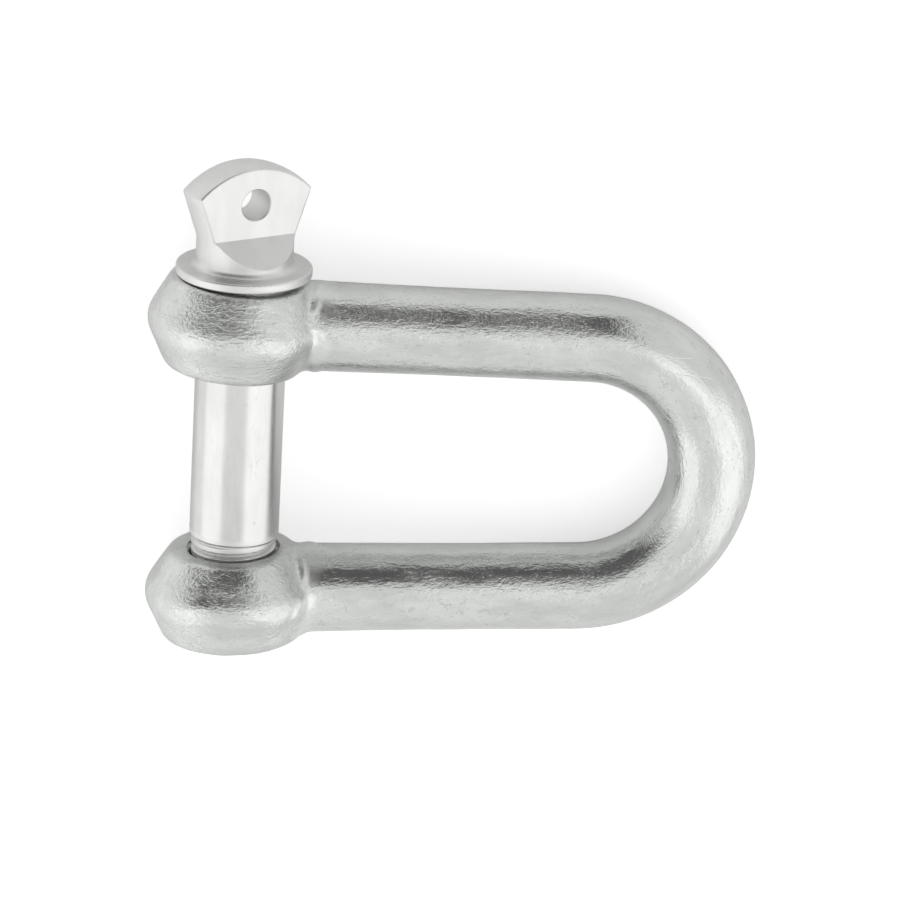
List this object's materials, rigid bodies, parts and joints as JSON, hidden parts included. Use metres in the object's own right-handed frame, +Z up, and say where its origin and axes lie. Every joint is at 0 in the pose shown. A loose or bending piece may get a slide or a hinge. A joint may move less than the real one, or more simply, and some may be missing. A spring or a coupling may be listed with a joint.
{
  "type": "chain joining shackle",
  "caption": "Screw-pin D shackle: a round bar bent to a D with bored forged eyes, closed by a threaded pin with a collar and a flat drilled tab head. Joins chain to chain or to a fitting.",
  "frame": {"origin": "middle of the whole part's footprint, on the floor it lies on", "axes": "+X from the pin to the crown of the bend, +Y along the pin towards its head, +Z up. The part lies on the rims of both eyes and on the crown"},
  "size_m": [0.111, 0.0902, 0.0319],
  "materials": {
    "bow_zinc": "hot-dip galvanised, satin",
    "pin_zinc": "machined and zinc plated, satin"
  },
  "bodies": {
    "bow": {"bow": "bow_zinc"},
    "pin": {"pin": "pin_zinc"}
  },
  "joints": [
    {"name": "pin_withdraw", "type": "slide", "parent": "bow", "child": "pin", "axis": [0, 1, 0], "range_m": [0, 0.07]}
  ]
}
